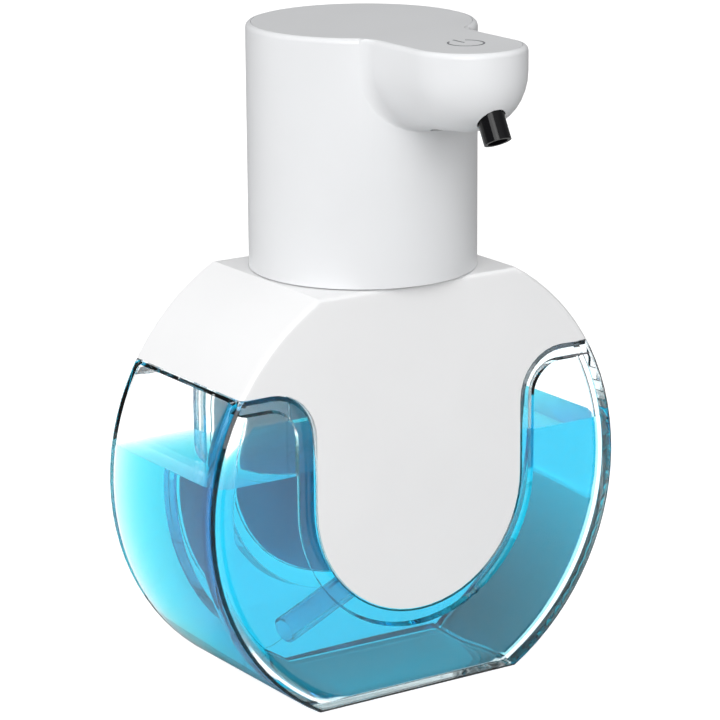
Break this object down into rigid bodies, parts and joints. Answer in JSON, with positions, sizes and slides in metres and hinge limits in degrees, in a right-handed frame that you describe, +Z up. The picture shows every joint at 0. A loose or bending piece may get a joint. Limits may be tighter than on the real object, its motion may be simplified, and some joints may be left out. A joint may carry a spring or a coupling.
{
  "type": "wall mounted soap dispenser",
  "caption": "Touch-free liquid soap dispenser: flat round clear bottle under a white shoulder cover, white pump head with spout and black nozzle, on a wall bracket.",
  "frame": {"origin": "centre of the adhesive pad's back face, on the wall", "axes": "+Z up, +Y into the wall, so the spout points to -Y; +X to the right of someone facing the dispenser"},
  "size_m": [0.124, 0.0919, 0.1712],
  "materials": {
    "white_plastic": "satin",
    "bracket_plastic": "satin",
    "clear_plastic": "clear, polished",
    "clear_tube": "clear, soft",
    "black_plastic": "polished",
    "dark_rubber": "matt",
    "white_rubber": "matt",
    "foam_pad": "matt",
    "grey_plastic": "satin",
    "nylon": "satin",
    "steel": "satin",
    "cell_wrap": "shrink sleeve",
    "circuit_board": "solder mask",
    "smoke_lens": "polished",
    "lamp_clear": "polished"
  },
  "bodies": {
    "wall_mount": {"adhesive_pad": "foam_pad", "wall_plate": "bracket_plastic"},
    "dispenser": {"bottle": "clear_plastic", "shoulder_cover": "white_plastic", "seal_ring": "dark_rubber"},
    "head": {"suction_tube": "clear_tube", "head_shell": "white_plastic", "top_cover": "white_plastic", "head_chassis": "grey_plastic", "vent_valve": "dark_rubber", "pump_housing": "grey_plastic", "pump_cover": "grey_plastic", "idler_pin": "steel", "motor_can": "steel", "motor_endcap": "black_plastic", "intake_hose": "white_rubber", "outlet_hose": "white_rubber", "nozzle": "black_plastic", "drip_valve": "dark_rubber", "battery": "cell_wrap", "battery_clip": "grey_plastic", "main_board": "circuit_board", "usb_socket": "steel", "touch_board": "circuit_board", "sensor_window": "smoke_lens", "sensor_board": "circuit_board", "ir_emitter": "lamp_clear", "ir_receiver": "smoke_lens", "chassis_screw_1": "steel", "chassis_screw_2": "steel", "chassis_screw_3": "steel", "pump_screw_1": "steel", "pump_screw_2": "steel"},
    "port_plug": {"port_plug": "white_rubber"},
    "pump_drive": {"drive_shaft": "steel", "drive_gear": "nylon"},
    "pump_idler": {"idler_gear": "nylon"}
  },
  "joints": [
    {"name": "dispenser_unhook", "type": "slide", "parent": "wall_mount", "child": "dispenser", "axis": [0, 0, 1], "range_m": [0, 0.013]},
    {"name": "head_lift", "type": "slide", "parent": "dispenser", "child": "head", "axis": [0, 0, 1], "range_m": [0, 0.11], "deforming": ["suction_tube"]},
    {"name": "port_plug_pull", "type": "slide", "parent": "head", "child": "port_plug", "axis": [1, 0, 0], "range_m": [0, 0.008]},
    {"name": "pump_drive_spin", "type": "hinge", "parent": "head", "child": "pump_drive", "pos_m": [0.006, -0.0303, 0.0665], "axis": [0, 0, 1], "continuous": true},
    {"name": "pump_idler_spin", "type": "hinge", "parent": "head", "child": "pump_idler", "pos_m": [-0.001, -0.0303, 0.0665], "axis": [0, 0, 1], "continuous": true}
  ],
  "couplings": [
    {"joint": "pump_idler_spin", "follows": "pump_drive_spin", "ratio": -1}
  ]
}
